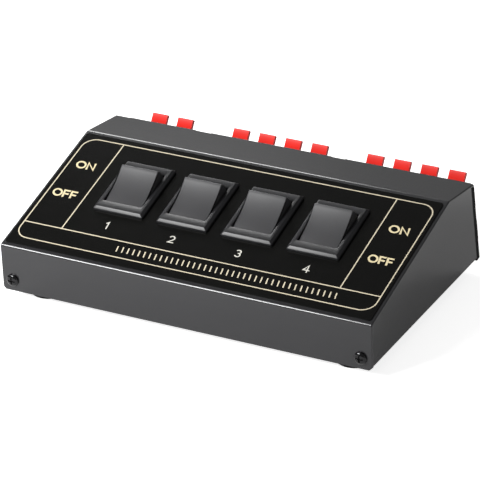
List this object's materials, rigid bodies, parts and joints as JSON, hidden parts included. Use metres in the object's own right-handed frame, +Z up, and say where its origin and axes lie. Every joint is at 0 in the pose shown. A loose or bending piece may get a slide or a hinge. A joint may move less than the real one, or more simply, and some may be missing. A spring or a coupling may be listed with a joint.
{
  "type": "speaker selector switch",
  "caption": "Sloping steel console with a row of rocker switches on its panel and two rows of red and black push-terminal levers on its rear, on rubber feet.",
  "frame": {"origin": "on the plane that the feet stand on, under the middle of the outline", "axes": "+X to the right of someone who faces the switches, +Y from the front lip to the rear terminals, +Z up"},
  "size_m": [0.185, 0.1255, 0.0504],
  "materials": {
    "shell_paint": "dark grey powder coat, satin",
    "chassis_paint": "black paint, satin",
    "panel_plastic": "moulded black, fine grain",
    "overlay_film": "glossy black printed film",
    "frame_plastic": "moulded dark grey, satin",
    "rocker_plastic": "moulded grey, satin",
    "lug_brass": "tinned",
    "block_plastic": "moulded black",
    "clip_steel": "plated spring strip",
    "lever_red": "moulded red, satin gloss",
    "lever_black": "moulded black, satin gloss",
    "board_laminate": "paper laminate, brown",
    "lead_insulation": "extruded insulation",
    "foot_rubber": "moulded black rubber",
    "screw_black": "black oxide"
  },
  "bodies": {
    "console": {"top_cover": "shell_paint", "base_plate": "chassis_paint", "rear_panel": "panel_plastic", "panel_overlay": "overlay_film", "switch_frame_1": "frame_plastic", "switch_frame_2": "frame_plastic", "switch_frame_3": "frame_plastic", "switch_frame_4": "frame_plastic", "switch_lugs_1": "lug_brass", "switch_lugs_2": "lug_brass", "switch_lugs_3": "lug_brass", "switch_lugs_4": "lug_brass", "input_block": "block_plastic", "output_block_a": "block_plastic", "output_block_b": "block_plastic", "input_clips": "clip_steel", "output_clips_a": "clip_steel", "output_clips_b": "clip_steel", "terminal_board": "board_laminate", "switch_leads": "lead_insulation", "feet": "foot_rubber", "foot_screws": "screw_black", "front_screws": "screw_black", "block_screws": "screw_black", "rear_panel_screws": "screw_black"},
    "rocker_1": {"rocker_1": "rocker_plastic"},
    "rocker_2": {"rocker_2": "rocker_plastic"},
    "rocker_3": {"rocker_3": "rocker_plastic"},
    "rocker_4": {"rocker_4": "rocker_plastic"},
    "red_lever_1": {"red_lever_1": "lever_red"},
    "red_lever_2": {"red_lever_2": "lever_red"},
    "red_lever_3": {"red_lever_3": "lever_red"},
    "red_lever_4": {"red_lever_4": "lever_red"},
    "red_lever_5": {"red_lever_5": "lever_red"},
    "red_lever_6": {"red_lever_6": "lever_red"},
    "red_lever_7": {"red_lever_7": "lever_red"},
    "red_lever_8": {"red_lever_8": "lever_red"},
    "red_lever_9": {"red_lever_9": "lever_red"},
    "red_lever_10": {"red_lever_10": "lever_red"},
    "black_lever_1": {"black_lever_1": "lever_black"},
    "black_lever_2": {"black_lever_2": "lever_black"},
    "black_lever_3": {"black_lever_3": "lever_black"},
    "black_lever_4": {"black_lever_4": "lever_black"},
    "black_lever_5": {"black_lever_5": "lever_black"},
    "black_lever_6": {"black_lever_6": "lever_black"},
    "black_lever_7": {"black_lever_7": "lever_black"},
    "black_lever_8": {"black_lever_8": "lever_black"},
    "black_lever_9": {"black_lever_9": "lever_black"},
    "black_lever_10": {"black_lever_10": "lever_black"}
  },
  "joints": [
    {"name": "rocker_1_tilt", "type": "hinge", "parent": "console", "child": "rocker_1", "pos_m": [-0.0489, -0.0129, 0.04065], "axis": [-1, 0, 0], "range_deg": [0, 38]},
    {"name": "rocker_2_tilt", "type": "hinge", "parent": "console", "child": "rocker_2", "pos_m": [-0.0163, -0.0129, 0.04065], "axis": [-1, 0, 0], "range_deg": [0, 38]},
    {"name": "rocker_3_tilt", "type": "hinge", "parent": "console", "child": "rocker_3", "pos_m": [0.0163, -0.0129, 0.04065], "axis": [-1, 0, 0], "range_deg": [0, 38]},
    {"name": "rocker_4_tilt", "type": "hinge", "parent": "console", "child": "rocker_4", "pos_m": [0.0489, -0.0129, 0.04065], "axis": [-1, 0, 0], "range_deg": [0, 38]},
    {"name": "red_lever_1_press", "type": "hinge", "parent": "console", "child": "red_lever_1", "pos_m": [-0.0755, 0.04398, 0.03552], "axis": [-1, 0, 0], "range_deg": [0, 20], "stiffness_Nm_per_rad": 0.05, "springref_deg": -17.19, "deforming": ["input_clips"]},
    {"name": "red_lever_2_press", "type": "hinge", "parent": "console", "child": "red_lever_2", "pos_m": [-0.0618, 0.04398, 0.03552], "axis": [-1, 0, 0], "range_deg": [0, 20], "stiffness_Nm_per_rad": 0.05, "springref_deg": -17.19, "deforming": ["input_clips"]},
    {"name": "red_lever_3_press", "type": "hinge", "parent": "console", "child": "red_lever_3", "pos_m": [-0.0319, 0.04398, 0.03552], "axis": [-1, 0, 0], "range_deg": [0, 20], "stiffness_Nm_per_rad": 0.05, "springref_deg": -17.19, "deforming": ["output_clips_a"]},
    {"name": "red_lever_4_press", "type": "hinge", "parent": "console", "child": "red_lever_4", "pos_m": [-0.0182, 0.04398, 0.03552], "axis": [-1, 0, 0], "range_deg": [0, 20], "stiffness_Nm_per_rad": 0.05, "springref_deg": -17.19, "deforming": ["output_clips_a"]},
    {"name": "red_lever_5_press", "type": "hinge", "parent": "console", "child": "red_lever_5", "pos_m": [-0.0045, 0.04398, 0.03552], "axis": [-1, 0, 0], "range_deg": [0, 20], "stiffness_Nm_per_rad": 0.05, "springref_deg": -17.19, "deforming": ["output_clips_a"]},
    {"name": "red_lever_6_press", "type": "hinge", "parent": "console", "child": "red_lever_6", "pos_m": [0.0092, 0.04398, 0.03552], "axis": [-1, 0, 0], "range_deg": [0, 20], "stiffness_Nm_per_rad": 0.05, "springref_deg": -17.19, "deforming": ["output_clips_a"]},
    {"name": "red_lever_7_press", "type": "hinge", "parent": "console", "child": "red_lever_7", "pos_m": [0.0377, 0.04398, 0.03552], "axis": [-1, 0, 0], "range_deg": [0, 20], "stiffness_Nm_per_rad": 0.05, "springref_deg": -17.19, "deforming": ["output_clips_b"]},
    {"name": "red_lever_8_press", "type": "hinge", "parent": "console", "child": "red_lever_8", "pos_m": [0.0514, 0.04398, 0.03552], "axis": [-1, 0, 0], "range_deg": [0, 20], "stiffness_Nm_per_rad": 0.05, "springref_deg": -17.19, "deforming": ["output_clips_b"]},
    {"name": "red_lever_9_press", "type": "hinge", "parent": "console", "child": "red_lever_9", "pos_m": [0.0651, 0.04398, 0.03552], "axis": [-1, 0, 0], "range_deg": [0, 20], "stiffness_Nm_per_rad": 0.05, "springref_deg": -17.19, "deforming": ["output_clips_b"]},
    {"name": "red_lever_10_press", "type": "hinge", "parent": "console", "child": "red_lever_10", "pos_m": [0.0788, 0.04398, 0.03552], "axis": [-1, 0, 0], "range_deg": [0, 20], "stiffness_Nm_per_rad": 0.05, "springref_deg": -17.19, "deforming": ["output_clips_b"]},
    {"name": "black_lever_1_press", "type": "hinge", "parent": "console", "child": "black_lever_1", "pos_m": [-0.0755, 0.04645, 0.02072], "axis": [-1, 0, 0], "range_deg": [0, 20], "stiffness_Nm_per_rad": 0.05, "springref_deg": -17.19, "deforming": ["input_clips"]},
    {"name": "black_lever_2_press", "type": "hinge", "parent": "console", "child": "black_lever_2", "pos_m": [-0.0618, 0.04645, 0.02072], "axis": [-1, 0, 0], "range_deg": [0, 20], "stiffness_Nm_per_rad": 0.05, "springref_deg": -17.19, "deforming": ["input_clips"]},
    {"name": "black_lever_3_press", "type": "hinge", "parent": "console", "child": "black_lever_3", "pos_m": [-0.0319, 0.04645, 0.02072], "axis": [-1, 0, 0], "range_deg": [0, 20], "stiffness_Nm_per_rad": 0.05, "springref_deg": -17.19, "deforming": ["output_clips_a"]},
    {"name": "black_lever_4_press", "type": "hinge", "parent": "console", "child": "black_lever_4", "pos_m": [-0.0182, 0.04645, 0.02072], "axis": [-1, 0, 0], "range_deg": [0, 20], "stiffness_Nm_per_rad": 0.05, "springref_deg": -17.19, "deforming": ["output_clips_a"]},
    {"name": "black_lever_5_press", "type": "hinge", "parent": "console", "child": "black_lever_5", "pos_m": [-0.0045, 0.04645, 0.02072], "axis": [-1, 0, 0], "range_deg": [0, 20], "stiffness_Nm_per_rad": 0.05, "springref_deg": -17.19, "deforming": ["output_clips_a"]},
    {"name": "black_lever_6_press", "type": "hinge", "parent": "console", "child": "black_lever_6", "pos_m": [0.0092, 0.04645, 0.02072], "axis": [-1, 0, 0], "range_deg": [0, 20], "stiffness_Nm_per_rad": 0.05, "springref_deg": -17.19, "deforming": ["output_clips_a"]},
    {"name": "black_lever_7_press", "type": "hinge", "parent": "console", "child": "black_lever_7", "pos_m": [0.0377, 0.04645, 0.02072], "axis": [-1, 0, 0], "range_deg": [0, 20], "stiffness_Nm_per_rad": 0.05, "springref_deg": -17.19, "deforming": ["output_clips_b"]},
    {"name": "black_lever_8_press", "type": "hinge", "parent": "console", "child": "black_lever_8", "pos_m": [0.0514, 0.04645, 0.02072], "axis": [-1, 0, 0], "range_deg": [0, 20], "stiffness_Nm_per_rad": 0.05, "springref_deg": -17.19, "deforming": ["output_clips_b"]},
    {"name": "black_lever_9_press", "type": "hinge", "parent": "console", "child": "black_lever_9", "pos_m": [0.0651, 0.04645, 0.02072], "axis": [-1, 0, 0], "range_deg": [0, 20], "stiffness_Nm_per_rad": 0.05, "springref_deg": -17.19, "deforming": ["output_clips_b"]},
    {"name": "black_lever_10_press", "type": "hinge", "parent": "console", "child": "black_lever_10", "pos_m": [0.0788, 0.04645, 0.02072], "axis": [-1, 0, 0], "range_deg": [0, 20], "stiffness_Nm_per_rad": 0.05, "springref_deg": -17.19, "deforming": ["output_clips_b"]}
  ]
}
